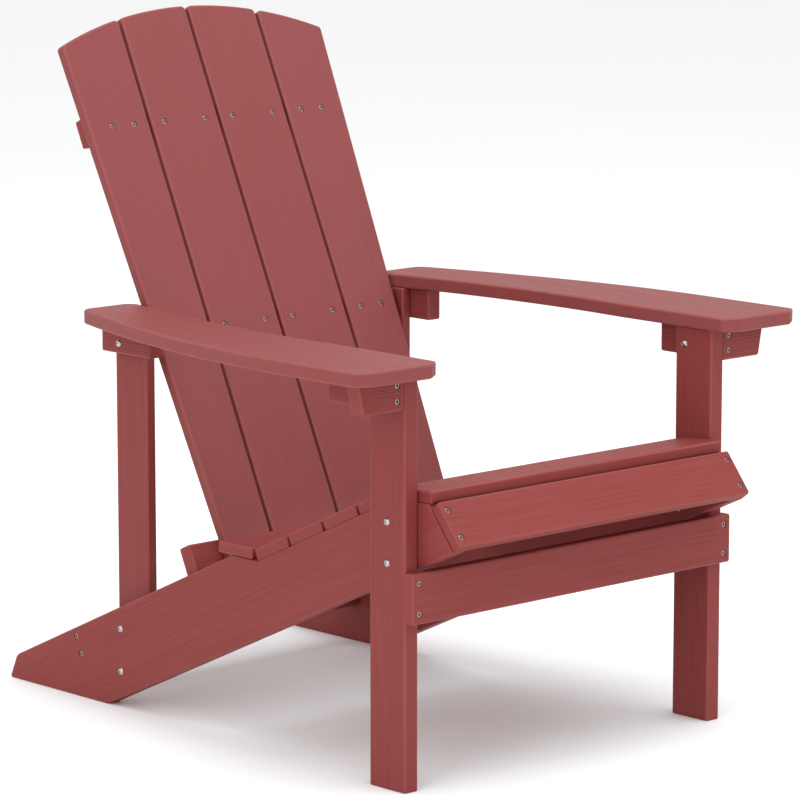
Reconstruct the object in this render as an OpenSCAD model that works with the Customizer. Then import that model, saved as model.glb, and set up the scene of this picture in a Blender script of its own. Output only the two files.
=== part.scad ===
// Adirondack garden chair of wood-grained plastic boards, held by stainless screws and bolts.
// Millimetres, +Z up. The chair faces -Y and is symmetric about X = 0.
// Origin: middle of the footprint, on the ground. "Left" and "right" are the sitter's own.
// Heights are above the ground; distances along Y are measured from the front legs' front faces.

/* [Boards] */
// Thickness of the heavy boards: legs, side rails, cleats, lower and middle back rails
heavy = 22; // [20:1:24]
// Thickness of the light boards: slats, rear posts, apron, front board, upper back rail
light = 15; // [13:1:17]
// Thickness of the armrests
arm_thick = 18; // [16:1:20]
// Width of the legs, the rear posts, the apron and the front board
wide = 62; // [58:1:64]
// Height of the back rails and of the rear stretcher
rail_h = 37; // [34:1:40]
// Height of the cleats and brackets under the armrests
cleat_h = 41; // [38:1:44]
// Bevel along the long edges of the straight boards
bevel = 1.5; // [0.5:0.5:2.5]

/* [Frame] */
// Distance between the outer faces of the front legs
leg_span = 546; // [520:2:580]
// Height of the armrests' undersides
arm_z = 504; // [496:1:512]
// Slope of the side rails
lean = 24.6; // [24.2:0.1:25]
// Width of a side rail's board
side_w = 109; // [106:1:112]
// Front end of a side rail's foot
foot_front = 592; // [586:1:598]
// Rear end of a side rail's foot
foot_rear = 797; // [790:1:804]
// Height of the apron's lower edge
apron_z = 207; // [195:1:215]
// Middle of the rear posts
post_y = 562; // [560:1:564]

/* [Seat] */
// Width of a seat slat
seat_w = 65; // [64:0.5:66]
// Gap between seat slats
seat_gap = 4; // [3:0.5:4.5]
// Depth of the side rails' recess for the seat slats
recess = 20.5; // [19.5:0.5:21.5]
// Crest of the seat, where the level front meets the slope
crest_y = 46; // [45:0.5:48]
// Reach of the side rails in front of the legs, at the seat's front edge
seat_reach = 16; // [14:0.5:18]
// Overhang of the front seat slat in front of the side rails
slat_over = 5; // [3:0.5:7]
// Backward tilt of the front seat slat
front_tilt = 3.75; // [3:0.25:4.5]
// Height of the level bearing under the rearmost seat slat
rear_seat_z = 234.5; // [233.5:0.5:235.5]
// Lean of the front board from upright
board_lean = 38.5; // [36:0.5:40]

/* [Back] */
// Rake of the back from upright
rake = 25.1; // [24.8:0.1:25.5]
// Where the front face of the back slats would meet the ground
back_y = 307.5; // [305:0.5:310]
// Length along the slope from the ground to the top of the back
back_top = 975; // [950:1:985]
// Gap between back slats
back_gap = 5; // [4:0.5:6]
// Width of the two inner back slats
slat_w = 112; // [108:1:114]
// Half the back's width at its lower end
back_half_low = 194; // [188:1:198]
// Half the back's width at its upper end
back_half_high = 222; // [215:1:228]
// Radius of the arch across the top
arch_r = 590; // [500:10:700]
// Middle of the upper back rail, along the slope
upper_s = 818; // [800:1:830]
// Middle of the arm-level back rail, along the slope
middle_s = 538; // [535:0.5:540]

/* [Armrests] */
// Middle line of an armrest at its front
arm_x = 310; // [306:1:314]
// Width at the front
arm_w_front = 132; // [126:1:136]
// Width at the rear
arm_w_rear = 84; // [80:1:86]
// Inward bend of the middle line at the rear
arm_bend = 60; // [54:1:60]
// Overhang in front of the legs
arm_over = 36; // [30:1:42]
// Rear end
arm_rear = 582; // [576:1:590]
// Where the inner edge starts to narrow
taper_y = 158; // [140:2:175]
// Where the middle line starts to bend
bend_y = 190; // [180:2:200]

/* [Fasteners] */
// Shank diameter of the wood screws
screw_d = 4; // [3.5:0.5:4.5]
// Head diameter of the wood screws
screw_head_d = 7.5; // [7:0.5:8.5]
// Shank diameter of the bolts
bolt_d = 5; // [4.5:0.5:6]
// Head diameter of the bolts
bolt_head_d = 9.5; // [9:0.5:11]

/* [Hidden] */
$fn = 32;

// Colours of the boards and of the fasteners
board_color = [0.60, 0.31, 0.30];
steel_color = [0.78, 0.78, 0.76];

// Faces across the chair, as distances from the middle plane
leg_out = leg_span / 2;
leg_in = leg_out - heavy;
side_in = leg_in - heavy;
post_in = side_in - light;

// The side rails' long edges as sloping lines: height = (start - y) * tan(lean)
top_start = foot_front + side_w / sin(lean);
recess_start = top_start - recess / sin(lean);
function slope_z(start, y) = (start - y) * tan(lean);
function slope_y(start, z) = start - z / tan(lean);
crest_z = slope_z(recess_start, crest_y);
seat_front_z = crest_z + (crest_y + seat_reach) * tan(front_tilt);
// Length of the slanted front end, from the seat down to the rail's lower edge
slant = (seat_front_z - slope_z(foot_front, -seat_reach)) / (cos(board_lean) + sin(board_lean) * tan(lean));
slant_end = [-seat_reach - slant * sin(board_lean), seat_front_z - slant * cos(board_lean)];

// The rear end of the foot leans forward and its upper corner is rounded
foot_lean = 25;
foot_round = 14;
end_round = 3;
nose_z = (top_start - foot_rear) / (1 / tan(lean) - tan(foot_lean));

// The chair's reach along Y and the shift that centres it on the origin
front_most = slant_end[0] - light * cos(board_lean);
middle_y = (front_most + foot_rear) / 2;

// Seat slats: one level at the front, four on the slope, one level at the rear
sloped_slats = 4;
slot_step = seat_w + seat_gap;
slope_end_y = crest_y + (sloped_slats * slot_step - seat_gap) * cos(lean);
rear_slat_y = slope_end_y + light * sin(lean) + seat_gap;
leg_clearance = 2;
seat_half = leg_in - leg_clearance;

// Back: how far up its slope a face at some depth behind the front meets the side rails' upper edges
function back_meets(depth) =
    ((top_start - back_y - depth * cos(rake)) * tan(lean) + depth * sin(rake))
    / (cos(rake) + sin(rake) * tan(lean));
back_low = max(back_meets(light), back_meets(light + heavy));
back_x = back_gap / 2 + slat_w + back_gap;
slat_corner = 6;
lower_rail_half = leg_in - 9;
upper_rail_half = back_half_high - 8;
lower_s = back_low + rail_h / 2;

// Screws: where they sit on the slats, and their lengths
slat_screw_x = [23.5, 93, 144, 180];
slat_screw_x_low = [23.5, 93, 138, 174];
screw_edge = 12.5;
screw_head_h = 2.4;
screw_sink = 0.8;
sink_gap = 0.5;
fit_gap = 0.1;
short_screw = light + 12;
long_screw = light + 18;
end_screw = heavy + 22;
cleat_screw = cleat_h + 11;
bracket_screw = heavy + 18;
toe_screw = rail_h + 25;
toe_screw_x = side_in + 7;
pocket_screw = 31;
pocket_sink = 9;
pocket_drop = 25;
pocket_angle = 25;
pocket_y = [[12, 38], [8, 28]];
recess_d = 3;
recess_h = 1.4;

// Bolts and their nuts
bolt_head_h = 2.8;
hex_key = 3.4;
nut_flats = 8;
nut_h = 4;
nut_bite = nut_h - 1;
barrel_d = 10;
barrel_l = 16;
barrel_depth = 24;

// Bolt positions as [y, z]
leg_bolts_at = [[wide / 2, 326], [wide / 2, 276]];
post_bolts_at = [[post_y, 104], [post_y, 48]];
post_foot_z = 32;
front_bolt_at = [[47, arm_z - cleat_h / 2 - 2]];
rail_mid_depth = light + heavy / 2;
rear_bolt_at = [[back_y + middle_s * sin(rake) + rail_mid_depth * cos(rake),
                 middle_s * cos(rake) - rail_mid_depth * sin(rake)]];

// Cleats and brackets
front_cleat_end = 109;
rear_cleat_from = 497;
bracket_low = 65;
bracket_high = 73;
bracket_screw_z = [12, 31];
front_cleat_screws = [70, 97];
rear_cleat_screws = [515, 540];

// Rear stretcher: square to the side rails, just under their upper edges
stretcher_y = 649;
stretcher_drop = 4.5;
stretcher_screw_y = [6.5, rail_h - 6.5];

// Armrest corners
chamfer_x = 19;
chamfer_y = 13;
chamfer_round = 5;
arm_rear_round = 17;
arm_steps = 18;

// ---- Outlines ----

function unit(v) = v / norm(v);

// Points of a corner at b, between a and c, rounded to radius r
function corner(a, b, c, r, n = 6) =
    r == 0 ? [b] :
    let (u = unit(a - b), w = unit(c - b), half = acos(u * w) / 2,
         middle = b + unit(u + w) * r / sin(half),
         from = b + u * r / tan(half) - middle,
         to = b + w * r / tan(half) - middle)
    [for (i = [0 : n]) middle + r * unit(from * (1 - i / n) + to * i / n)];

// An outline with each corner rounded to its own radius
function rounded(points, radii) =
    let (count = len(points))
    [for (i = [0 : count - 1])
        each corner(points[(i + count - 1) % count], points[i], points[(i + 1) % count], radii[i])];

// ---- Placing ----

// From the front legs' front faces to the origin
module placed() {
    translate([0, -middle_y, 0]) children();
}

// Sheet of the back: x across, y up the slope, z out of the front face
module on_back() {
    translate([0, back_y, 0]) rotate([90 - rake, 0, 0]) children();
}

// Sheet of a sloped bearing on the side rails: y up the slope from the point at (y0, z0)
module on_slope(y0, z0, angle) {
    translate([0, y0, z0]) rotate([-angle, 0, 0]) children();
}

// Both sides of the chair
module both_sides() {
    for (side = [-1, 1]) scale([side, 1, 1]) children();
}

// One side: +1 is the sitter's left, -1 the sitter's right
module on_side(side) {
    if (side > 0) children();
    else mirror([1, 0, 0]) children();
}

// ---- Boards ----

module eased(w, h) {
    polygon([[bevel, 0], [w - bevel, 0], [w, bevel], [w, h - bevel],
             [w - bevel, h], [bevel, h], [0, h - bevel], [0, bevel]]);
}

// A board running along X, centred on X = 0
module board_x(half_length, w, h) {
    translate([-half_length, 0, 0]) rotate([90, 0, 90]) linear_extrude(2 * half_length) eased(w, h);
}

// A board running along Y
module board_y(length, w, h) {
    translate([0, length, 0]) rotate([90, 0, 0]) linear_extrude(length) eased(w, h);
}

// A board standing along Z
module board_z(length, w, h) {
    linear_extrude(length) eased(w, h);
}

// ---- Fasteners ----

// Countersunk shape with its flat top at z = 0, the shank along -Z
module screw_body(length, gap) {
    translate([0, 0, -length]) cylinder(h = length, d = screw_d + 2 * gap);
    translate([0, 0, -screw_head_h])
        cylinder(h = screw_head_h, d1 = screw_d + 2 * gap, d2 = screw_head_d + 2 * gap);
}

// Countersunk wood screw with a hexagonal recess, its head sunk below the board's face at z = 0
module screw(length, sink = screw_sink) {
    translate([0, 0, -sink]) difference() {
        screw_body(length, 0);
        translate([0, 0, -recess_h]) cylinder(h = 2 * recess_h, d = recess_d, $fn = 6);
    }
}

module screw_hole(length, sink = screw_sink) {
    translate([0, 0, -sink]) {
        screw_body(length + fit_gap, fit_gap);
        cylinder(h = 2 * sink, d = screw_head_d + 2 * sink_gap);
    }
}

// Button-head bolt: the head's seat at z = 0, the shank along -Z
module bolt(length) {
    head_r = bolt_head_d / 2;
    dome_r = (head_r * head_r + bolt_head_h * bolt_head_h) / (2 * bolt_head_h);
    translate([0, 0, -length]) cylinder(h = length, d = bolt_d);
    difference() {
        intersection() {
            translate([0, 0, bolt_head_h - dome_r]) sphere(r = dome_r);
            cylinder(h = bolt_head_h + 1, d = bolt_head_d);
        }
        translate([0, 0, bolt_head_h / 2]) cylinder(h = bolt_head_h, d = hex_key, $fn = 6);
    }
}

// Cap nut: its seat at z = 0, the dome along +Z, bored for the bolt's end
module cap_nut() {
    flat_d = nut_flats / cos(30);
    difference() {
        union() {
            cylinder(h = nut_h, d = flat_d, $fn = 6);
            translate([0, 0, nut_h]) intersection() {
                sphere(d = nut_flats - 1);
                cylinder(h = nut_h, d = nut_flats);
            }
        }
        translate([0, 0, -1]) cylinder(h = nut_h + 1, d = bolt_d + 2 * fit_gap);
    }
}

// Barrel nut lying across the end of the middle back rail, with a cross bore for its bolt
module barrel_nut() {
    difference() {
        cylinder(h = barrel_l, d = barrel_d, center = true);
        rotate([0, 90, 0]) cylinder(h = 2 * barrel_d, d = bolt_d + 2 * fit_gap, center = true);
    }
}

// Children placed at each [y, z] on the face at distance x, with +Z pointing outwards along X
module across(x, spots) {
    for (spot = spots) translate([x, spot[0], spot[1]]) rotate([0, 90, 0]) children();
}

// The same, with +Z pointing inwards
module across_in(x, spots) {
    for (spot = spots) translate([x, spot[0], spot[1]]) rotate([0, -90, 0]) children();
}

module bolt_bore(from_x, to_x, spots) {
    across(from_x, spots) cylinder(h = to_x - from_x, d = bolt_d + 2 * fit_gap);
}

// ---- Where the screws go ----

module at_back_screws(s, list) {
    on_back() for (x = list, side = [-1, 1]) translate([side * x, s, 0]) children();
}

// Front slat, sloped slats counted down from the crest, and rear slat
module on_seat(index) {
    if (index == 0)
        on_slope(-seat_reach - slat_over, seat_front_z + slat_over * tan(front_tilt), front_tilt)
            children();
    else if (index <= sloped_slats)
        on_slope(crest_y, crest_z, lean) translate([0, (index - 1) * slot_step, 0]) children();
    else
        translate([0, rear_slat_y, rear_seat_z]) children();
}

module at_seat_screws(index) {
    on_seat(index)
        for (side = [-1, 1], y = [seat_w / 4, 3 * seat_w / 4])
            translate([side * (side_in + heavy / 2), y, light]) children();
}

// Pocket screws run from the side rails' inner faces up into the two level slats
module at_pocket_screws() {
    for (end = [0, 1]) on_seat(end * (sloped_slats + 1))
        for (side = [-1, 1], y = pocket_y[end])
            translate([side * side_in, y, -pocket_drop]) rotate([0, 180 + side * pocket_angle, 0]) children();
}

// The front board's sheet: x across, y up the board, z out of its front face
module on_front_board() {
    translate([0, slant_end[0], slant_end[1]]) rotate([90 - board_lean, 0, 0]) children();
}

module at_front_board_screws() {
    on_front_board()
        for (side = [-1, 1], y = [screw_edge, wide - screw_edge])
            translate([side * (side_in + heavy / 2), y, light]) children();
}

module at_apron_screws() {
    for (side = [-1, 1], z = [apron_z + screw_edge, apron_z + wide - screw_edge])
        translate([side * (leg_out - heavy / 2), -light, z]) rotate([90, 0, 0]) children();
}

module at_bracket_screws() {
    for (z = bracket_screw_z)
        translate([leg_out + heavy / 2, 0, arm_z - cleat_h + z]) rotate([90, 0, 0]) children();
}

// Sheet of the stretcher, square to the side rails: y up, z towards the front
module on_stretcher() {
    translate([0, stretcher_y, slope_z(top_start, stretcher_y)])
        rotate([90 - lean, 0, 0]) translate([0, -stretcher_drop - rail_h, 0]) children();
}

module at_stretcher_screws() {
    on_stretcher()
        for (y = stretcher_screw_y)
            translate([leg_in, y, -heavy / 2]) rotate([0, 90, 0]) children();
}

module at_lower_rail_screws() {
    on_back() translate([toe_screw_x, back_low + rail_h, -light - heavy / 2]) rotate([-90, 0, 0]) children();
}

module at_armrest_screws() {
    for (y = front_cleat_screws)
        translate([leg_out + heavy / 2, y, arm_z - cleat_h]) rotate([180, 0, 0]) children();
    for (y = rear_cleat_screws)
        translate([side_in + heavy / 2, y, arm_z - cleat_h]) rotate([180, 0, 0]) children();
}

// ---- Frame ----

module front_leg(side) {
    color(board_color) placed() on_side(side) difference() {
        translate([leg_in, 0, 0]) board_z(arm_z, heavy, wide);
        bolt_bore(leg_in - 1, leg_out + 1, leg_bolts_at);
        bolt_bore(leg_in - 1, leg_out + 1, front_bolt_at);
        at_apron_screws() screw_hole(end_screw);
    }
}

module side_rail(side) {
    nose = [foot_rear - nose_z * tan(foot_lean), nose_z];
    outline = [
        [foot_front, 0], [foot_rear, 0], nose,
        [slope_y(top_start, rear_seat_z), rear_seat_z],
        [slope_y(recess_start, rear_seat_z), rear_seat_z],
        [crest_y, crest_z], [-seat_reach, seat_front_z], slant_end
    ];
    radii = [0, end_round, foot_round, 0, 0, 0, 0, end_round];
    color(board_color) placed() on_side(side) difference() {
        translate([side_in, 0, 0]) rotate([90, 0, 90]) linear_extrude(heavy) polygon(rounded(outline, radii));
        bolt_bore(side_in - 1, leg_in + 1, leg_bolts_at);
        bolt_bore(side_in - 1, leg_in + 1, post_bolts_at);
        for (index = [1 : sloped_slats]) at_seat_screws(index) screw_hole(long_screw);
        at_pocket_screws() screw_hole(pocket_screw, pocket_sink);
        at_front_board_screws() screw_hole(long_screw);
        at_stretcher_screws() screw_hole(end_screw);
        at_lower_rail_screws() screw_hole(toe_screw);
    }
}

module rear_post(side) {
    color(board_color) placed() on_side(side) difference() {
        translate([post_in, post_y - wide / 2, post_foot_z]) board_z(arm_z - post_foot_z, light, wide);
        bolt_bore(post_in - 1, side_in + 1, post_bolts_at);
        bolt_bore(post_in - 1, side_in + 1, rear_bolt_at);
    }
}

module apron() {
    color(board_color) placed() difference() {
        translate([0, -light, apron_z]) board_x(leg_out, light, wide);
        at_apron_screws() screw_hole(end_screw);
    }
}

module seat_front_board() {
    color(board_color) placed() difference() {
        on_front_board() board_x(seat_half, wide, light);
        at_front_board_screws() screw_hole(long_screw);
    }
}

module rear_stretcher() {
    color(board_color) placed() difference() {
        on_stretcher() translate([0, 0, -heavy]) board_x(side_in, rail_h, heavy);
        both_sides() at_stretcher_screws() screw_hole(end_screw);
    }
}

// ---- Seat ----

module seat_slat(index) {
    color(board_color) placed() difference() {
        on_seat(index) board_x(seat_half, seat_w, light);
        if (index > 0 && index <= sloped_slats) at_seat_screws(index) screw_hole(long_screw);
        else at_pocket_screws() screw_hole(pocket_screw, pocket_sink);
    }
}

// ---- Back ----

// Slats counted from the sitter's right; the outer two widen upwards
module back_slat(number) {
    side = number <= 2 ? -1 : 1;
    inner = number == 2 || number == 3;
    near_x = inner ? back_gap / 2 : back_x;
    low_x = inner ? near_x + slat_w : back_half_low;
    high_x = inner ? near_x + slat_w : back_half_high;
    function arch(x) = back_top - arch_r + sqrt(arch_r * arch_r - x * x);
    steps = 8;
    top = [for (i = [0 : steps]) let (x = high_x + (near_x - high_x) * i / steps) [x, arch(x)]];
    top_radii = [for (i = [0 : steps]) i == 0 || i == steps ? slat_corner : 0];
    color(board_color) placed() difference() {
        on_back() on_side(side) translate([0, 0, -light]) linear_extrude(light)
            polygon(rounded(concat([[near_x, back_low], [low_x, back_low]], top), concat([0, 0], top_radii)));
        at_back_screws(upper_s, slat_screw_x) screw_hole(short_screw);
        at_back_screws(middle_s, slat_screw_x) screw_hole(long_screw);
        at_back_screws(lower_s, slat_screw_x_low) screw_hole(long_screw);
    }
}

module upper_back_rail() {
    color(board_color) placed() difference() {
        on_back() translate([0, upper_s - rail_h / 2, -2 * light]) board_x(upper_rail_half, rail_h, light);
        at_back_screws(upper_s, slat_screw_x) screw_hole(short_screw);
    }
}

module middle_back_rail() {
    color(board_color) placed() difference() {
        on_back() translate([0, middle_s - rail_h / 2, -light - heavy]) board_x(post_in, rail_h, heavy);
        at_back_screws(middle_s, slat_screw_x) screw_hole(long_screw);
        both_sides() bolt_bore(post_in - barrel_depth - barrel_d, post_in + 1, rear_bolt_at);
        on_back() for (side = [-1, 1])
            translate([side * (post_in - barrel_depth), middle_s, -light - heavy - 1])
                cylinder(h = heavy / 2 + barrel_l / 2 + 1 + fit_gap, d = barrel_d + 2 * fit_gap);
    }
}

module lower_back_rail() {
    color(board_color) placed() difference() {
        on_back() translate([0, back_low, -light - heavy]) board_x(lower_rail_half, rail_h, heavy);
        at_back_screws(lower_s, slat_screw_x_low) screw_hole(long_screw);
        both_sides() at_lower_rail_screws() screw_hole(toe_screw);
    }
}

// ---- Armrests and what carries them ----

function arm_width(y) =
    arm_w_front - (arm_w_front - arm_w_rear) * max(0, (y - taper_y) / (arm_rear - taper_y));
function arm_middle(y) = arm_x - arm_bend * pow(max(0, (y - bend_y) / (arm_rear - bend_y)), 1.8);
function arm_edge(y, side) = [arm_middle(y) + side * arm_width(y) / 2, y];

module armrest(side) {
    half = arm_w_front / 2;
    sweep = [for (i = [0 : arm_steps]) taper_y + (arm_rear - taper_y) * i / arm_steps];
    outer = [for (y = sweep) arm_edge(y, 1)];
    inner = [for (i = [arm_steps : -1 : 0]) arm_edge(sweep[i], -1)];
    front = [
        [arm_x - half, -arm_over + chamfer_y], [arm_x - half + chamfer_x, -arm_over],
        [arm_x + half - chamfer_x, -arm_over], [arm_x + half, -arm_over + chamfer_y]
    ];
    front_radii = [for (i = [0 : 3]) chamfer_round];
    outer_radii = [for (i = [0 : arm_steps]) i == arm_steps ? arm_rear_round : 0];
    inner_radii = [for (i = [0 : arm_steps]) i == 0 ? arm_rear_round : 0];
    color(board_color) placed() on_side(side) difference() {
        translate([0, 0, arm_z]) linear_extrude(arm_thick)
            polygon(rounded(concat(front, outer, inner), concat(front_radii, outer_radii, inner_radii)));
        at_armrest_screws() screw_hole(cleat_screw);
    }
}

module front_cleat(side) {
    color(board_color) placed() on_side(side) difference() {
        translate([leg_out, heavy, arm_z - cleat_h]) board_y(front_cleat_end - heavy, heavy, cleat_h);
        bolt_bore(leg_out - 1, leg_out + heavy + 1, front_bolt_at);
        at_bracket_screws() screw_hole(bracket_screw);
        at_armrest_screws() screw_hole(cleat_screw);
    }
}

module rear_cleat(side) {
    length = post_y + wide / 2 - rear_cleat_from;
    color(board_color) placed() on_side(side) difference() {
        translate([side_in, rear_cleat_from, arm_z - cleat_h]) board_y(length, heavy, cleat_h);
        bolt_bore(side_in - 1, leg_in + 1, rear_bolt_at);
        at_armrest_screws() screw_hole(cleat_screw);
    }
}

// The outer end is cut back towards its lower edge
module arm_bracket(side) {
    color(board_color) placed() on_side(side) difference() {
        translate([leg_out, heavy, arm_z - cleat_h]) rotate([90, 0, 0]) linear_extrude(heavy)
            polygon([[0, 0], [bracket_low, 0], [bracket_high, cleat_h], [0, cleat_h]]);
        at_bracket_screws() screw_hole(bracket_screw);
    }
}

// ---- Fasteners in place ----

module back_screws(s, list, length) {
    color(steel_color) placed() at_back_screws(s, list) screw(length);
}

module seat_screws() {
    color(steel_color) placed()
        for (index = [1 : sloped_slats]) at_seat_screws(index) screw(long_screw);
}

module pocket_screws() {
    color(steel_color) placed() at_pocket_screws() screw(pocket_screw, pocket_sink);
}

module front_board_screws() {
    color(steel_color) placed() at_front_board_screws() screw(long_screw);
}

module apron_screws() {
    color(steel_color) placed() at_apron_screws() screw(end_screw);
}

module bracket_screws() {
    color(steel_color) placed() both_sides() at_bracket_screws() screw(bracket_screw);
}

module stretcher_screws() {
    color(steel_color) placed() both_sides() at_stretcher_screws() screw(end_screw);
}

module lower_rail_screws() {
    color(steel_color) placed() both_sides() at_lower_rail_screws() screw(toe_screw);
}

module armrest_screws() {
    color(steel_color) placed() both_sides() at_armrest_screws() screw(cleat_screw);
}

module leg_bolts() {
    color(steel_color) placed() both_sides() across(leg_out, leg_bolts_at) bolt(2 * heavy + nut_bite);
}

module leg_nuts() {
    color(steel_color) placed() both_sides() across_in(side_in, leg_bolts_at) cap_nut();
}

module post_bolts() {
    color(steel_color) placed() both_sides() across(leg_in, post_bolts_at) bolt(heavy + light + nut_bite);
}

module post_nuts() {
    color(steel_color) placed() both_sides() across_in(post_in, post_bolts_at) cap_nut();
}

// These bolts are put in from the inner faces of the legs
module front_cleat_bolts() {
    color(steel_color) placed() both_sides() across_in(leg_in, front_bolt_at) bolt(2 * heavy + nut_bite);
}

module front_cleat_nuts() {
    color(steel_color) placed() both_sides() across(leg_out + heavy, front_bolt_at) cap_nut();
}

module rear_cleat_bolts() {
    color(steel_color) placed() both_sides() across(leg_in, rear_bolt_at)
        bolt(heavy + light + barrel_depth + barrel_d / 2);
}

module barrel_nuts() {
    color(steel_color) placed() on_back() for (side = [-1, 1])
        translate([side * (post_in - barrel_depth), middle_s, -rail_mid_depth]) barrel_nut();
}

front_leg(1);  // left_front_leg
front_leg(-1);  // right_front_leg
side_rail(1);  // left_side_rail
side_rail(-1);  // right_side_rail
rear_post(1);  // left_rear_post
rear_post(-1);  // right_rear_post
apron();
seat_front_board();
rear_stretcher();
seat_slat(0);  // seat_slat_front
seat_slat(1);  // seat_slat_2
seat_slat(2);  // seat_slat_3
seat_slat(3);  // seat_slat_4
seat_slat(4);  // seat_slat_5
seat_slat(5);  // seat_slat_rear
back_slat(1);  // back_slat_1
back_slat(2);  // back_slat_2
back_slat(3);  // back_slat_3
back_slat(4);  // back_slat_4
upper_back_rail();
middle_back_rail();
lower_back_rail();
armrest(1);  // left_armrest
armrest(-1);  // right_armrest
front_cleat(1);  // left_front_cleat
front_cleat(-1);  // right_front_cleat
rear_cleat(1);  // left_rear_cleat
rear_cleat(-1);  // right_rear_cleat
arm_bracket(1);  // left_arm_bracket
arm_bracket(-1);  // right_arm_bracket
back_screws(upper_s, slat_screw_x, short_screw);  // back_screws_upper
back_screws(middle_s, slat_screw_x, long_screw);  // back_screws_middle
back_screws(lower_s, slat_screw_x_low, long_screw);  // back_screws_lower
seat_screws();
pocket_screws();
front_board_screws();
apron_screws();
bracket_screws();
stretcher_screws();
lower_rail_screws();
armrest_screws();
leg_bolts();
leg_nuts();
post_bolts();
post_nuts();
front_cleat_bolts();
front_cleat_nuts();
rear_cleat_bolts();
barrel_nuts();
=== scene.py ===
"""Adirondack chair of wood-grained plastic boards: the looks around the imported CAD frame.

Every board is built again from its own CAD node with rounded edges and sunk screw holes, and
every screw, bolt and cap nut with a finer head. Lengths are in metres, in the CAD's frame.
"""

import math
import random

import bmesh
import bpy
import numpy as np
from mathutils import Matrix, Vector


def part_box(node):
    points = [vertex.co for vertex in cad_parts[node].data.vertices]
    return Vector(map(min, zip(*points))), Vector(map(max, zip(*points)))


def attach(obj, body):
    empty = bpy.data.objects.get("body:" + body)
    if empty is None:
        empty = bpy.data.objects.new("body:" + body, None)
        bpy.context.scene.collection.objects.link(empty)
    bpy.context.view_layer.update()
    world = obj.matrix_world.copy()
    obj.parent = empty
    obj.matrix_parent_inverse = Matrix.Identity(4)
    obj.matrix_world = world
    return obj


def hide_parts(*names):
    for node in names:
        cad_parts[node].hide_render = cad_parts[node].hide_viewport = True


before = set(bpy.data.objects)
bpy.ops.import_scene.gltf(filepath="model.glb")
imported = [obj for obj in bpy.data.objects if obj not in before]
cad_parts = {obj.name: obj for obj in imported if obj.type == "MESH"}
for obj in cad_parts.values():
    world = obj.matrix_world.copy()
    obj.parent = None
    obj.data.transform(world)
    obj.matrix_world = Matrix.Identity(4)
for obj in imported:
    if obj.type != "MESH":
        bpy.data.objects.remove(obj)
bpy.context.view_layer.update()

MM = 0.001
SEED = 11

# ---- The CAD nodes by kind ----
NODES = sorted(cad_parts)
SCREWS = [n for n in NODES if n.endswith("_screws") or "_screws_" in n]
BOLTS = [n for n in NODES if n.endswith("_bolts")]
PLAIN_STEEL = ["barrel_nuts"]  # kept as the CAD's own mesh
NUTS = [n for n in NODES if n.endswith("_nuts") and n not in PLAIN_STEEL]
BOARDS = [n for n in NODES if n not in SCREWS + BOLTS + NUTS + PLAIN_STEEL]

# ---- Settings: words in the boards' names that decide their looks ----
RIBBED = ("leg", "post", "cleat", "bracket")  # embossed lines along the wide faces
# Painted haze: the back slats and armrests are drawn paler and pinker, and the rear posts and the
# left front leg a little, as painted light for the cool light from above and behind and the white
# surroundings they reflect
PAINTED_HAZE = {"back_slat": 0.55, "armrest": 0.55, "rear_post": 0.1, "left_front_leg": 0.1}
PALE_ELSEWHERE = 0.04  # how pale the red is made on all other boards, from 0 to 1
TONE_SPREAD = 0.06  # random change either way, board by board
GRAIN_SPREAD = 9  # random shift of the grain either way, so that no two boards match

# ---- Settings: rounding of the boards ----
LONG_EDGE = 2.8 * MM  # along a board's long edges
END_EDGE = 1.3 * MM  # round its sawn ends
RAIL_EDGE = 2.2 * MM  # round the cut-out side rails
BEARING_EDGE = 0.5 * MM  # the same where they carry the seat
CORNER = 1.6 * MM  # a board's corners, seen flat on
CORNER_SHARE = 0.35  # most of a side that a rounded corner takes
SUPPORT = 0.6 * MM  # distance of the loops that keep flat faces flat
SUPPORT_SHARE = 0.1  # most of a side that such a loop takes
EDGE_STEPS = 5
CORNER_STEPS = 4
CORNER_TURN = math.radians(20)  # a smaller turn belongs to a curve and stays as it is
SHARP = math.radians(35)

# ---- Settings: reading the CAD meshes ----
WELD = 1e-6
CUT_TOLERANCE = 1e-7
SAME_WAY = 0.9995  # cosine between normals that count as parallel
SQUARE = 0.02  # cosine between directions that count as square
SECTION_SHARES = (0.25, 0.75)  # where through the thickness the outline is cut
SHORT_RUN = 0.02 * MM
STRAIGHT = math.radians(0.12)
ON_FACE = 0.02 * MM  # depth below a wide face that still counts as on it
ROUNDED_SHARE = 0.95  # share of the rounding's height that counts as the edge
FORWARDS = -0.6  # a side rail's sides that face more forwards than this carry the front board
UPWARDS = 0.3  # and those that face more upwards than this carry the seat slats

# ---- Settings: fasteners ----
SIDE_HINT = (0.31, 0.22, 0.92)  # any direction that no fastener points in
HOLE_HINT = (0.3, 0.9, 0.2)  # the same for the holes
HOLE_STEPS = 28
TURN_STEPS = 24
HOLE_GAP = 0.45 * MM  # gap round a screw's head
HOLE_DEPTH = 1.9 * MM  # depth of the hole below the head's top
HEAD_CLEAR = 3 * MM  # height that the hole clears above the head
POCKET_CLEAR = 13 * MM  # the same above the slanting pocket screws
HEAD_MARGIN = 1 * MM  # a head this near a board's box is taken as in that board
RECESS = 1.6 * MM  # corner radius of the recess in a screw's head
RECESS_DEPTH = 2.1 * MM
SCREW_HEAD = 2.4 * MM  # depth at which the head has narrowed to the shank
THREAD_START = 4 * MM
THREAD_PITCH = 1.8 * MM
THREAD_MARGIN = 8 * MM  # length that the thread leaves plain, both ends together
SCREW_POINT = 3 * MM
BOLT_BEVEL = 0.6 * MM
RIM_TOLERANCE = 0.02 * MM  # this near the largest radius is a fastener's widest part
TIP_TOLERANCE = 0.05 * MM  # this near its far end is the tip of its shank


# ---- Reading the CAD nodes ----


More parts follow.
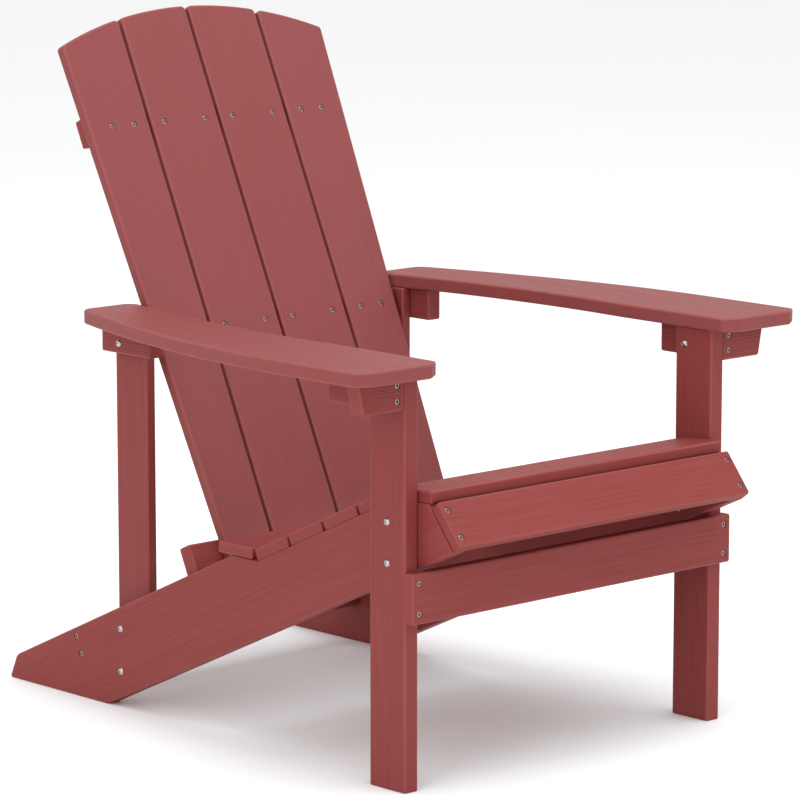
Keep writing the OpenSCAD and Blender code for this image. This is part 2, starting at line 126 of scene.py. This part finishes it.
def welded(name):
    """A CAD node's mesh with its split corners joined."""
    bm = bmesh.new()
    bm.from_mesh(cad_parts[name].data)
    bmesh.ops.remove_doubles(bm, verts=bm.verts, dist=WELD)
    bm.normal_update()
    return bm


def strongest(normals, areas):
    """The direction that most of the area faces, either way round."""
    scores = [areas[np.abs(normals @ n) > SAME_WAY].sum() for n in normals]
    best = normals[int(np.argmax(scores))]
    return best * np.sign(best[np.argmax(np.abs(best))])


def board_axes(bm):
    """A board's axes: along, across, and through its thickness."""
    normals = np.array([f.normal for f in bm.faces], float)
    areas = np.array([f.calc_area() for f in bm.faces], float)
    through = strongest(normals, areas)
    sides = np.abs(normals @ through) < SQUARE
    across = strongest(normals[sides], areas[sides])
    across = across - through * (across @ through)
    across /= np.linalg.norm(across)
    return np.array([np.cross(across, through), across, through])


def loops_of(edges):
    """Closed loops of points from a set of cut edges."""
    near = {}
    for e in edges:
        for a, b in (e.verts, reversed(e.verts)):
            near.setdefault(a, []).append(b)
    found, seen = [], set()
    for start in near:
        if start in seen:
            continue
        loop, here = [start], start
        seen.add(start)
        while True:
            following = [v for v in near[here] if v not in seen]
            if not following:
                break
            here = following[0]
            seen.add(here)
            loop.append(here)
        found.append(np.array([v.co for v in loop], float))
    return found


def perimeter(points):
    return np.linalg.norm(points - np.roll(points, -1, axis=0), axis=1).sum()


def section(bm, axes, height):
    """The board's outer outline, cut at a height through its thickness, anticlockwise."""
    cut = bm.copy()
    result = bmesh.ops.bisect_plane(
        cut,
        geom=cut.verts[:] + cut.edges[:] + cut.faces[:],
        dist=CUT_TOLERANCE,
        plane_co=Vector(axes[2] * height),
        plane_no=Vector(axes[2]),
    )
    edges = [g for g in result["geom_cut"] if isinstance(g, bmesh.types.BMEdge)]
    outer = max(loops_of(edges), key=perimeter) @ axes[:2].T
    cut.free()
    following = np.roll(outer, -1, axis=0)
    if (outer[:, 0] * following[:, 1] - outer[:, 1] * following[:, 0]).sum() < 0:
        outer = outer[::-1]
    return outer


def turn_between(before, after):
    """The angle from one direction to the next, positive to the left."""
    return math.atan2(before[0] * after[1] - before[1] * after[0], before @ after)


def simplified(points):
    """The outline without the points that lie on a straight run."""
    points = list(points)
    changed = True
    while changed:
        changed = False
        for i in range(len(points)):
            before = points[i] - points[i - 1]
            after = points[(i + 1) % len(points)] - points[i]
            if np.linalg.norm(before) < SHORT_RUN or abs(turn_between(before, after)) < STRAIGHT:
                del points[i]
                changed = True
                break
    return np.array(points)


# ---- Boards with rounded edges ----


def inward_move(left_before, left_after, turn):
    """The matrix that turns insets from the sides before and after a corner into its move."""
    if abs(turn) < CORNER_TURN:
        mean = (left_before + left_after) / (1 + left_before @ left_after) / 2
        return np.column_stack([mean, mean])
    return np.linalg.inv(np.array([left_before, left_after]))


def eased_corners(points, radii):
    """Points of the outline with rounded corners. Each has the matrix that moves it inwards,
    and the edge radius on either side of it."""
    eased = []
    for i, corner in enumerate(points):
        before = corner - points[i - 1]
        after = points[(i + 1) % len(points)] - corner
        shorter = min(np.linalg.norm(before), np.linalg.norm(after))
        before /= np.linalg.norm(before)
        after /= np.linalg.norm(after)
        turn = turn_between(before, after)
        left_before = np.array([-before[1], before[0]])
        left_after = np.array([-after[1], after[0]])
        move = inward_move(left_before, left_after, turn)
        edges = np.array([radii[i - 1], radii[i]])
        if turn < CORNER_TURN:
            eased.append((corner, move, edges))
            continue
        reach = min(CORNER * math.tan(turn / 2), CORNER_SHARE * shorter)
        radius = reach / math.tan(turn / 2)
        support = min(SUPPORT, SUPPORT_SHARE * shorter)
        centre = corner - before * reach + left_before * radius
        eased.append((corner - before * (reach + support), move, edges))
        for k in range(CORNER_STEPS + 1):
            t = turn * k / CORNER_STEPS
            spoke = before * math.sin(t) - left_before * math.cos(t)
            eased.append((centre + spoke * radius, move, edges))
        eased.append((corner + after * (reach + support), move, edges))
    return eased


def eased_prism(points, radii, thick):
    """Vertices and faces of a board that lies flat, with all its edges rounded, and the height
    of that rounding."""
    corners = eased_corners(points, radii)
    high = max(radii)
    # Each layer: share of the edge radius that it moves inwards, what is added to that, height
    layers = [(1, SUPPORT, 0)]
    for k in range(EDGE_STEPS + 1):
        t = math.pi / 2 * k / EDGE_STEPS
        layers.append((1 - math.sin(t), 0, high * (1 - math.cos(t))))
    layers.append((0, 0, high + SUPPORT))
    layers += [(share, more, thick - z) for share, more, z in reversed(layers)]
    verts = []
    for share, more, z in layers:
        for corner, move, edges in corners:
            verts.append((*(corner + move @ (edges * share + more)), z))
    count = len(corners)
    faces = [tuple(reversed(range(count)))]
    for k in range(len(layers) - 1):
        low, up = k * count, (k + 1) * count
        for i in range(count):
            j = (i + 1) % count
            faces.append((low + i, low + j, up + j, up + i))
    faces.append(tuple(range((len(layers) - 1) * count, len(layers) * count)))
    return np.array(verts), faces, high


def new_object(name, verts, faces):
    mesh = bpy.data.meshes.new(name)
    mesh.from_pydata([tuple(v) for v in verts], [], faces)
    mesh.update()
    obj = bpy.data.objects.new(name, mesh)
    bpy.context.scene.collection.objects.link(obj)
    return obj


def edge_radii(name, points, axes):
    """A rounding for each side of the outline: smaller across the sawn ends of straight boards,
    and almost none where the side rails carry the seat."""
    if "armrest" in name or "back_slat" in name:
        return np.full(len(points), LONG_EDGE)
    sides = np.roll(points, -1, axis=0) - points
    if "side_rail" in name:
        middles = (points + sides / 2) @ axes[:2]
        outwards = np.column_stack([sides[:, 1], -sides[:, 0]]) @ axes[:2]
        outwards /= np.linalg.norm(outwards, axis=1)[:, None]
        recess_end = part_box("seat_slat_rear")[1].y
        under_slats = (outwards[:, 2] > UPWARDS) & (middles[:, 1] < recess_end)
        return np.where((outwards[:, 1] < FORWARDS) | under_slats, BEARING_EDGE, RAIL_EDGE)
    ends = np.abs(sides[:, 1]) > np.abs(sides[:, 0])
    return np.where(ends, END_EDGE, LONG_EDGE)


def square_to(axis, hint):
    """Two directions square to an axis and to each other."""
    side = np.cross(axis, hint)
    side /= np.linalg.norm(side)
    return side, np.cross(axis, side)


def hole_mesh(head):
    """Vertices and faces of the closed cylinder that a screw's head needs free."""
    side, other = square_to(head["out"], HOLE_HINT)
    verts = []
    for z in (-HOLE_DEPTH, head["clear"]):
        for k in range(HOLE_STEPS):
            t = 2 * math.pi * k / HOLE_STEPS
            spoke = side * math.cos(t) + other * math.sin(t)
            verts.append(head["top"] + head["out"] * z + head["hole"] * spoke)
    faces = [tuple(reversed(range(HOLE_STEPS))), tuple(range(HOLE_STEPS, 2 * HOLE_STEPS))]
    for k in range(HOLE_STEPS):
        j = (k + 1) % HOLE_STEPS
        faces.append((k, j, HOLE_STEPS + j, HOLE_STEPS + k))
    return verts, faces


def joined(meshes):
    """Several lots of vertices and faces as one."""
    verts, faces = [], []
    for v, f in meshes:
        faces += [tuple(i + len(verts) for i in face) for face in f]
        verts += list(v)
    return verts, faces


def cut_holes(obj, heads):
    """Sinks a hole into a board round each screw head."""
    cutter = new_object("cutter", *joined(hole_mesh(head) for head in heads))
    modifier = obj.modifiers.new("holes", "BOOLEAN")
    modifier.operation = "DIFFERENCE"
    modifier.solver = "EXACT"
    modifier.use_self = True
    modifier.object = cutter
    bpy.context.view_layer.update()
    evaluated = obj.evaluated_get(bpy.context.evaluated_depsgraph_get())
    result = bpy.data.meshes.new_from_object(evaluated)
    obj.modifiers.clear()
    obj.data = result
    bpy.data.objects.remove(cutter)


def smooth(mesh):
    mesh.shade_smooth()
    mesh.set_sharp_from_angle(angle=SHARP)


def store(mesh, key, values):
    """Keeps a number for each vertex, for the material to read."""
    everywhere = np.full(len(mesh.vertices), values, dtype=float)
    mesh.attributes.new(key, "FLOAT", "POINT").data.foreach_set("value", everywhere)


def mark_board(mesh, axes, origin, shift, thick, high):
    """Stores the grain's own coordinates, and where the wide faces and the rounded edges are."""
    co = np.empty(len(mesh.vertices) * 3)
    mesh.vertices.foreach_get("co", co)
    local = co.reshape(-1, 3) @ axes.T - origin
    grain = (local + shift).ravel()
    mesh.attributes.new("grain", "FLOAT_VECTOR", "POINT").data.foreach_set("vector", grain)
    depth = np.minimum(local[:, 2], thick - local[:, 2])
    store(mesh, "wide", depth < ON_FACE)
    store(mesh, "edge", (depth >= ON_FACE) & (depth < ROUNDED_SHARE * high))


def painted_haze_share(name):
    """How far a board's red is made paler by painted haze, before its own small random change in
    tone.
    """
    return next((share for word, share in PAINTED_HAZE.items() if word in name), PALE_ELSEWHERE)


def make_board(name, heads, material, rng):
    """One board, rebuilt from its CAD node's outline and thickness."""
    bm = welded(name)
    axes = board_axes(bm)
    co = np.array([v.co for v in bm.verts], float) @ axes.T
    base, thick = co[:, 2].min(), np.ptp(co[:, 2])
    outlines = [simplified(section(bm, axes, base + thick * share)) for share in SECTION_SHARES]
    bm.free()
    points = min(outlines, key=len)
    verts, faces, high = eased_prism(points, edge_radii(name, points, axes), thick)
    verts[:, 2] += base
    obj = new_object("lumber_" + name, verts @ axes, faces)
    low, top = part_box(name)
    low, top = np.array(low) - HEAD_MARGIN, np.array(top) + HEAD_MARGIN
    near = [h for h in heads if (low < h["top"]).all() and (h["top"] < top).all()]
    if near:
        cut_holes(obj, near)
    shift = np.array([rng.uniform(-GRAIN_SPREAD, GRAIN_SPREAD) for _ in range(3)])
    mark_board(obj.data, axes, np.append(points.mean(axis=0), base), shift, thick, high)
    store(obj.data, "ribbed", any(word in name for word in RIBBED))
    # paler red: painted haze on some boards, plus a random change in tone on all
    store(obj.data, "haze_and_tone", painted_haze_share(name) + rng.uniform(-TONE_SPREAD, TONE_SPREAD))
    smooth(obj.data)
    obj.data.materials.clear()
    obj.data.materials.append(material)
    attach(obj, "root")
    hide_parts(name)


# ---- Fasteners ----


def islands(bm):
    """The vertices of each separate solid, in the mesh's own order."""
    seen, found = set(), []
    for start in bm.verts:
        if start in seen:
            continue
        seen.add(start)
        stack, group = [start], []
        while stack:
            here = stack.pop()
            group.append(here.co)
            for e in here.link_edges:
                v = e.other_vert(here)
                if v not in seen:
                    seen.add(v)
                    stack.append(v)
        found.append(np.array(group, float))
    return found


def measure(points, axis=None):
    """A fastener's axis towards its widest end, its top on the middle line, its length and radii."""
    if axis is None:
        axis = np.linalg.svd(points - points.mean(axis=0))[2][0]
    sheet = np.array(square_to(axis, SIDE_HINT))
    flat, depth = points @ sheet.T, points @ axis
    middle = (flat.min(axis=0) + flat.max(axis=0)) / 2
    radial = np.linalg.norm(flat - middle, axis=1)
    widest = depth[radial > radial.max() - RIM_TOLERANCE]
    if widest.mean() < (depth.min() + depth.max()) / 2:
        return measure(points, -axis)
    return {
        "top": middle @ sheet + axis * depth.max(),
        "out": axis,
        "radius": radial.max(),
        "widest": widest.min() - depth.max(),
        "length": np.ptp(depth),
        "shank": radial[depth < depth.min() + TIP_TOLERANCE].max(),
    }


def measures_of(name, axis=None):
    """The measures of every fastener in a CAD node."""
    bm = welded(name)
    found = [measure(points, axis) for points in islands(bm)]
    bm.free()
    return found


def ring(radius, z, six):
    """One ring of a turned part: round, or a hexagon of that corner radius."""
    points = []
    for k in range(TURN_STEPS):
        t = 2 * math.pi * k / TURN_STEPS
        reach = radius
        if six:
            reach *= math.cos(math.pi / 6) / math.cos((t % (math.pi / 3)) - math.pi / 6)
        points.append((reach * math.cos(t), reach * math.sin(t), z))
    return points


def turned(rings, start, out):
    """A turned part from its rings, first to last, placed at a point along a direction."""
    axes = np.array([*square_to(out, SIDE_HINT), out])
    verts = [point for radius, z, six in rings for point in ring(radius, z, six)]
    faces = [tuple(range(TURN_STEPS))]
    for k in range(len(rings) - 1):
        this, after = k * TURN_STEPS, (k + 1) * TURN_STEPS
        for i in range(TURN_STEPS):
            j = (i + 1) % TURN_STEPS
            faces.append((this + j, this + i, after + i, after + j))
    last = (len(rings) - 1) * TURN_STEPS
    faces.append(tuple(reversed(range(last, last + TURN_STEPS))))
    return np.array(verts) @ axes + start, faces


# A ring is its radius, its height against the part's top, and whether it is a hexagon.


def screw_rings(m):
    """Sunk flat head with a hexagonal recess, then the threaded shank down to its point."""
    r, s, length = m["radius"], m["shank"], m["length"]
    rings = [
        (RECESS, -RECESS_DEPTH, True),
        (RECESS + 0.15 * MM, -0.12 * MM, True),
        (RECESS + 0.3 * MM, 0, True),
        (0.62 * r, 0, False),
        (0.92 * r, -0.03 * MM, False),
        (0.985 * r, -0.1 * MM, False),
        (r, -0.25 * MM, False),
        (0.97 * r, -0.45 * MM, False),
        (s, -SCREW_HEAD, False),
    ]
    z = -THREAD_START
    for _ in range(int((length - THREAD_MARGIN) / THREAD_PITCH)):
        rings += [(0.78 * s, z, False), (s, z - THREAD_PITCH / 2, False)]
        z -= THREAD_PITCH
    return rings + [(0.75 * s, SCREW_POINT - length, False), (0.1 * s, -length, False)]


def bolt_rings(m):
    """Button head with a hexagonal recess and a thin rim, then the shank."""
    r, s, h, length = m["radius"], m["shank"], -m["widest"], m["length"]
    socket = 0.27 * r
    rings = [
        (socket, -0.6 * h, True),
        (1.03 * socket, -0.08 * h, True),
        (1.12 * socket, 0.0, True),
    ]
    for t in (1.05, 0.85, 0.6, 0.35, 0.12):
        rings.append((0.98 * r * math.cos(t), h * (math.sin(t) - 1), False))
    return rings + [
        (r, -0.95 * h, False),
        (0.985 * r, -h, False),
        (s, -h, False),
        (s, BOLT_BEVEL - length, False),
        (0.8 * s, -length, False),
    ]


def nut_rings(m):
    """Cap nut from its seat: bevelled hexagon, a small step and a dome."""
    r, length = m["radius"], m["length"]
    flat = 0.5 * length
    step = 1.02 * flat
    rings = [
        (0.55 * r, 0, False),
        (0.86 * r, 0, False),
        (r, -0.08 * flat, True),
        (r, -0.9 * flat, True),
        (0.86 * r, -flat, False),
        (0.74 * r, -step, False),
    ]
    for t in (0.25, 0.5, 0.75, 1.0, 1.25, 1.5):
        rings.append((0.74 * r * math.cos(t), -step - (length - step) * math.sin(t), False))
    return rings


def make_fasteners(name, measures, rings_of, material):
    """All the fasteners of one CAD node as one piece."""
    parts = [turned(rings_of(m), m["top"], m["out"]) for m in measures]
    obj = new_object("steel_" + name, *joined(parts))
    smooth(obj.data)
    obj.data.materials.append(material)
    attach(obj, "root")
    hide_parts(name)


# ---- Shader helpers ----


def feed(tree, socket, value):
    """Gives a socket a value, or another node's output."""
    if isinstance(value, bpy.types.NodeSocket):
        tree.links.new(value, socket)
    else:
        socket.default_value = value


def add(tree, kind, settings=None, **inputs):
    """A shader node with its settings, and its inputs as values or as other nodes' outputs.
    An input is named by its label, or as i0, i1 and so on by its place."""
    n = tree.nodes.new(kind)
    for key, value in (settings or {}).items():
        setattr(n, key, value)
    for key, value in inputs.items():
        by_place = key[0] == "i" and key[1:].isdigit()
        socket = n.inputs[int(key[1:]) if by_place else key.replace("_", " ")]
        feed(tree, socket, value)
    return n


def attribute(tree, key, output="Fac"):
    """What the boards' meshes store under a name."""
    return add(tree, "ShaderNodeAttribute", {"attribute_name": key}).outputs[output]


def stretched(tree, coordinates, scale, detail, roughness=0.55):
    """Noise drawn out along the grain: scale is in cycles per metre along, across and through."""
    mapping = add(tree, "ShaderNodeMapping", Vector=coordinates, Scale=scale).outputs["Vector"]
    settings = {"Scale": 1.0, "Detail": detail, "Roughness": roughness}
    return add(tree, "ShaderNodeTexNoise", Vector=mapping, **settings).outputs["Fac"]


def remap(tree, value, low, high, to_low, to_high):
    """Turns the values from low to high into those from to_low to to_high."""
    ranges = {"i1": low, "i2": high, "i3": to_low, "i4": to_high}
    return add(tree, "ShaderNodeMapRange", i0=value, **ranges).outputs["Result"]


def maths(tree, operation, a, b):
    return add(tree, "ShaderNodeMath", {"operation": operation}, i0=a, i1=b).outputs["Value"]


def masked(tree, mask, pattern, low, high, to_low, to_high):
    """A remapped pattern, only where a mask is on."""
    return maths(tree, "MULTIPLY", remap(tree, pattern, low, high, to_low, to_high), mask)


def mixed(tree, share, a, b):
    """Colour a, turning into colour b."""
    n = add(tree, "ShaderNodeMix", {"data_type": "RGBA"}, i0=share, i6=a, i7=b)
    return n.outputs[2]


def bumped(tree, height, strength, distance, under=None):
    """A bump, on top of another one where that is given."""
    bump = add(tree, "ShaderNodeBump", Height=height, Strength=strength, Distance=distance)
    if under is not None:
        tree.links.new(under, bump.inputs["Normal"])
    return bump.outputs["Normal"]


def new_material(name):
    material = bpy.data.materials.new(name)
    material.use_nodes = True
    tree = material.node_tree
    return material, tree, tree.nodes["Principled BSDF"]


# ---- Lumber ----

RED = (0.216, 0.033, 0.028, 1)
RED_DARK = (0.140, 0.020, 0.017, 1)
RED_LIGHT = (0.290, 0.056, 0.048, 1)
# the paler, pinker red of the painted haze
RED_HAZE = (0.220, 0.061, 0.060, 1)
# a lighter red, painted along the rounded edges as their highlight
RED_EDGE_HIGHLIGHT = (0.335, 0.088, 0.078, 1)

# Patterns, in cycles per metre along, across and through the board
SWAY = (5, 16, 16)
STREAKS = (5, 210, 120)
LINES = (7, 560, 260)
PORES = (90, 1100, 600)
PATCHES = (2.2, 6, 6)
SWELLS = (14, 55, 55)

TONE_SHARE = 0.09  # how much the streaks darken or lighten the red
SHINE = 0.22  # specular level
# Bumps: strength and distance
EMBOSSED = (0.3, 1 * MM)
EMBOSSED_RIBS = (0.3, 0.6 * MM)
SWOLLEN = (0.25, 0.8 * MM)

SWAY_WIDTH = 12 * MM  # how far the grain wanders sideways
RIB_PITCH = 4 * MM  # distance between the embossed lines of the legs, posts and cleats
RIB_STRETCH = 0.12  # the ribs' slowness along the board
WAVE_CYCLES = 10 / math.pi  # a wave texture's bands per unit, at scale 1


def grain_patterns(tree):
    """The patterns and masks that the lumber's colour, roughness and relief share."""
    grain = attribute(tree, "grain", "Vector")
    sway = maths(tree, "SUBTRACT", stretched(tree, grain, SWAY, 2.0), 0.5)
    aside = add(tree, "ShaderNodeCombineXYZ", Y=maths(tree, "MULTIPLY", sway, SWAY_WIDTH))
    adding = {"operation": "ADD"}
    wavy = add(tree, "ShaderNodeVectorMath", adding, i0=grain, i1=aside.outputs["Vector"])
    wavy = wavy.outputs["Vector"]
    drawn = add(tree, "ShaderNodeMapping", Vector=wavy, Scale=(RIB_STRETCH, 1, 1))
    ribs = add(
        tree,
        "ShaderNodeTexWave",
        {"bands_direction": "Y"},
        Vector=drawn.outputs["Vector"],
        Scale=1 / (WAVE_CYCLES * RIB_PITCH),
        Distortion=1.4,
        Detail=2.0,
        Detail_Scale=0.8,
    )
    wide = attribute(tree, "wide")
    return {
        "streaks": stretched(tree, wavy, STREAKS, 3.0),
        "lines": stretched(tree, wavy, LINES, 1.0, roughness=0.5),
        "pores": stretched(tree, wavy, PORES, 2.0),
        "patches": stretched(tree, grain, PATCHES, 2.0),
        "swells": stretched(tree, grain, SWELLS, 2.0),
        "ribs": ribs.outputs["Fac"],
        "ribbed": maths(tree, "MULTIPLY", attribute(tree, "ribbed"), wide),
        "wide": wide,
        "edge": attribute(tree, "edge"),
        "haze_and_tone": attribute(tree, "haze_and_tone"),
    }


def lumber_colour(tree, g):
    """Red with darker and lighter grain, paler on some boards with painted haze and random tone, and
    with a painted highlight along the rounded edges.
    """
    tone = mixed(tree, remap(tree, g["streaks"], 0.36, 0.64, 0, 1), RED_DARK, RED_LIGHT)
    colour = mixed(tree, TONE_SHARE, RED, tone)
    layers = (
        (masked(tree, g["wide"], g["lines"], 0.52, 0.68, 0, 0.30), RED_DARK),
        (masked(tree, g["wide"], g["lines"], 0.46, 0.32, 0, 0.22), RED_LIGHT),
        (masked(tree, g["ribbed"], g["ribs"], 0.42, 0.08, 0, 0.32), RED_DARK),
        (remap(tree, g["patches"], 0.42, 0.62, 0, 0.10), RED_LIGHT),
        # painted haze on some boards, with a random change in tone on all
        (g["haze_and_tone"], RED_HAZE),
        # painted highlight along the rounded edges, made uneven by the streaks
        (masked(tree, g["edge"], g["streaks"], 0.35, 0.70, 0.22, 0.42), RED_EDGE_HIGHLIGHT),
    )
    for share, red in layers:
        colour = mixed(tree, share, colour, red)
    return colour


def lumber_roughness(tree, g):
    streaks = remap(tree, g["streaks"], 0.35, 0.65, 0.50, 0.60)
    pores = remap(tree, g["pores"], 0.4, 0.6, -0.03, 0.04)
    return maths(tree, "ADD", streaks, pores)


def lumber_relief(tree, g):
    """Embossed grain on the wide faces, ribs on the ribbed boards, and slow swells on all."""
    lines = maths(tree, "MULTIPLY", g["lines"], 0.75)
    pores = maths(tree, "MULTIPLY", g["pores"], 0.25)
    depth = remap(tree, g["wide"], 0, 1, 0.18, 1)
    embossed = maths(tree, "MULTIPLY", maths(tree, "ADD", lines, pores), depth)
    ribs = maths(tree, "MULTIPLY", g["ribs"], g["ribbed"])
    bump = bumped(tree, embossed, *EMBOSSED)
    bump = bumped(tree, ribs, *EMBOSSED_RIBS, bump)
    return bumped(tree, g["swells"], *SWOLLEN, bump)


def lumber():
    """Dusty red plastic lumber: embossed grain on the wide faces, smooth eased edges with a painted
    highlight, and painted haze on some boards.
    """
    material, tree, shader = new_material("red_lumber_grained")
    patterns = grain_patterns(tree)
    tree.links.new(lumber_colour(tree, patterns), shader.inputs["Base Color"])
    tree.links.new(lumber_roughness(tree, patterns), shader.inputs["Roughness"])
    tree.links.new(lumber_relief(tree, patterns), shader.inputs["Normal"])
    shader.inputs["Specular IOR Level"].default_value = SHINE
    return material


# ---- Steel and floor ----

BRUSHED = (2600, 2600, 900)  # cycles per metre
SMUDGES = (240, 240, 240)
DULL_STEEL = ((0.27, 0.19, 0.165, 1), (0.40, 0.29, 0.255, 1))
DULL_ROUGHNESS = (0.34, 0.52)
BRIGHT_STEEL = ((0.34, 0.335, 0.33, 1), (0.52, 0.51, 0.50, 1))
BRIGHT_ROUGHNESS = (0.12, 0.24)
BRUSH_MARKS = (0.15, 0.2 * MM)  # strength and distance of the bump
FLOOR_CLOUDS = (0.7, 0.7, 0.7)
FLOOR_GREYS = ((0.90, 0.90, 0.90, 1), (0.93, 0.93, 0.93, 1))


def steel(name, tones, roughness):
    """Brushed stainless steel with faint smudges."""
    material, tree, shader = new_material(name)
    place = add(tree, "ShaderNodeTexCoord").outputs["Object"]
    brushed = stretched(tree, place, BRUSHED, 3.0)
    colour = mixed(tree, stretched(tree, place, SMUDGES, 2.0), *tones)
    tree.links.new(colour, shader.inputs["Base Color"])
    tree.links.new(remap(tree, brushed, 0.3, 0.7, *roughness), shader.inputs["Roughness"])
    tree.links.new(bumped(tree, brushed, *BRUSH_MARKS), shader.inputs["Normal"])
    shader.inputs["Metallic"].default_value = 1.0
    return material


def floor_paint():
    """Pale, very slightly uneven studio floor."""
    material, tree, shader = new_material("studio_floor")
    place = add(tree, "ShaderNodeTexCoord").outputs["Object"]
    colour = mixed(tree, stretched(tree, place, FLOOR_CLOUDS, 3.0), *FLOOR_GREYS)
    tree.links.new(colour, shader.inputs["Base Color"])
    shader.inputs["Roughness"].default_value = 0.9
    shader.inputs["Specular IOR Level"].default_value = 0.1
    return material


# ---- Building the chair ----


def make_screws(material):
    """Makes the screws, and lists where their heads need a hole."""
    heads = []
    for name in SCREWS:
        found = measures_of(name)
        make_fasteners(name, found, screw_rings, material)
        clear = POCKET_CLEAR if name == "pocket_screws" else HEAD_CLEAR
        for m in found:
            hole = m["radius"] + HOLE_GAP
            heads.append({"top": m["top"], "out": m["out"], "hole": hole, "clear": clear})
    return heads


def make_bolts_and_nuts(material):
    """Makes the bolts and cap nuts, which all lie across the chair."""
    across = np.array([1.0, 0.0, 0.0])
    for names, rings_of in ((BOLTS, bolt_rings), (NUTS, nut_rings)):
        for name in names:
            make_fasteners(name, measures_of(name, across), rings_of, material)


def finish_cad_steel(material):
    """Gives the fasteners that stay as the CAD's own their steel."""
    for name in PLAIN_STEEL:
        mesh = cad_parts[name].data
        mesh.materials.clear()
        mesh.materials.append(material)


rng = random.Random(SEED)
lumber_material = lumber()
dull_steel = steel("stainless_dull", DULL_STEEL, DULL_ROUGHNESS)
bright_steel = steel("stainless_bright", BRIGHT_STEEL, BRIGHT_ROUGHNESS)
screw_heads = make_screws(dull_steel)
make_bolts_and_nuts(bright_steel)
finish_cad_steel(bright_steel)
for name in BOARDS:
    make_board(name, screw_heads, lumber_material, rng)

# ---- Studio ----

CAMERA_PLACE = (-3.5783, -3.9385, 1.3092)
CAMERA_TILT = math.radians(80.29)
CAMERA_TURN = math.radians(-42.69)
CAMERA_LENS = 189.86
CAMERA_SENSOR = 36

AIM = Vector((0, 0, 0.5))
# Each light: name, place, size, power, colour
LIGHTS = (
    ("key", (-4.6, -1.2, 2.4), 3.0, 54, (1.0, 0.98, 0.96)),
    ("overhead", (0.0, -0.9, 4.4), 4.0, 140, (0.84, 0.94, 1.0)),
    ("fill", (0.8, -4.2, 2.6), 3.0, 8, (1.0, 1.0, 1.0)),
)

FLOOR_NEAR = 12.0  # how far the floor reaches towards the camera
FLOOR_FAR = 34.0  # and away from it, before it curves up
FLOOR_BEND = 6.0
FLOOR_RISE = 8
FLOOR_HALF_WIDTH = 26
FLOOR_STEPS = 24


def make_floor():
    """A wide floor that curves up far behind the chair, square to the camera."""
    profile = [(-FLOOR_NEAR, 0), (FLOOR_FAR, 0)]
    for k in range(1, FLOOR_STEPS + 1):
        t = math.pi / 2 * k / FLOOR_STEPS
        profile.append((FLOOR_FAR + FLOOR_BEND * math.sin(t), FLOOR_BEND * (1 - math.cos(t))))
    profile.append((FLOOR_FAR + FLOOR_BEND, FLOOR_BEND + FLOOR_RISE))
    forward = np.array([-math.sin(CAMERA_TURN), math.cos(CAMERA_TURN)])
    side = np.array([math.cos(CAMERA_TURN), math.sin(CAMERA_TURN)])
    verts = []
    for reach, z in profile:
        for x in (-FLOOR_HALF_WIDTH, FLOOR_HALF_WIDTH):
            verts.append((*(forward * reach + side * x), z))
    faces = [(2 * k, 2 * k + 1, 2 * k + 3, 2 * k + 2) for k in range(len(profile) - 1)]
    floor = new_object("studio_floor", verts, faces)
    floor.data.shade_smooth()
    floor.data.materials.append(floor_paint())


def area_light(name, place, size, power, colour):
    """A round light that points at the middle of the chair."""
    data = bpy.data.lights.new(name, "AREA")
    data.shape = "DISK"
    data.size = size
    data.energy = power
    data.color = colour
    light = bpy.data.objects.new(name, data)
    light.location = place
    light.rotation_euler = (AIM - Vector(place)).to_track_quat("-Z", "Y").to_euler()
    bpy.context.scene.collection.objects.link(light)


def white_world():
    world = bpy.data.worlds.new("studio")
    bpy.context.scene.world = world
    world.use_nodes = True
    background = world.node_tree.nodes["Background"]
    background.inputs["Color"].default_value = (1.0, 1.0, 1.0, 1)
    background.inputs["Strength"].default_value = 1.0


def place_camera():
    """The camera that was fitted to the photo."""
    data = bpy.data.cameras.new("camera")
    data.sensor_width = CAMERA_SENSOR
    data.lens = CAMERA_LENS
    camera = bpy.data.objects.new("camera", data)
    camera.location = CAMERA_PLACE
    camera.rotation_euler = (CAMERA_TILT, 0, CAMERA_TURN)
    bpy.context.scene.collection.objects.link(camera)
    bpy.context.scene.camera = camera


make_floor()
for light in LIGHTS:
    area_light(*light)
white_world()
bpy.context.scene.view_settings.view_transform = "Standard"
place_camera()
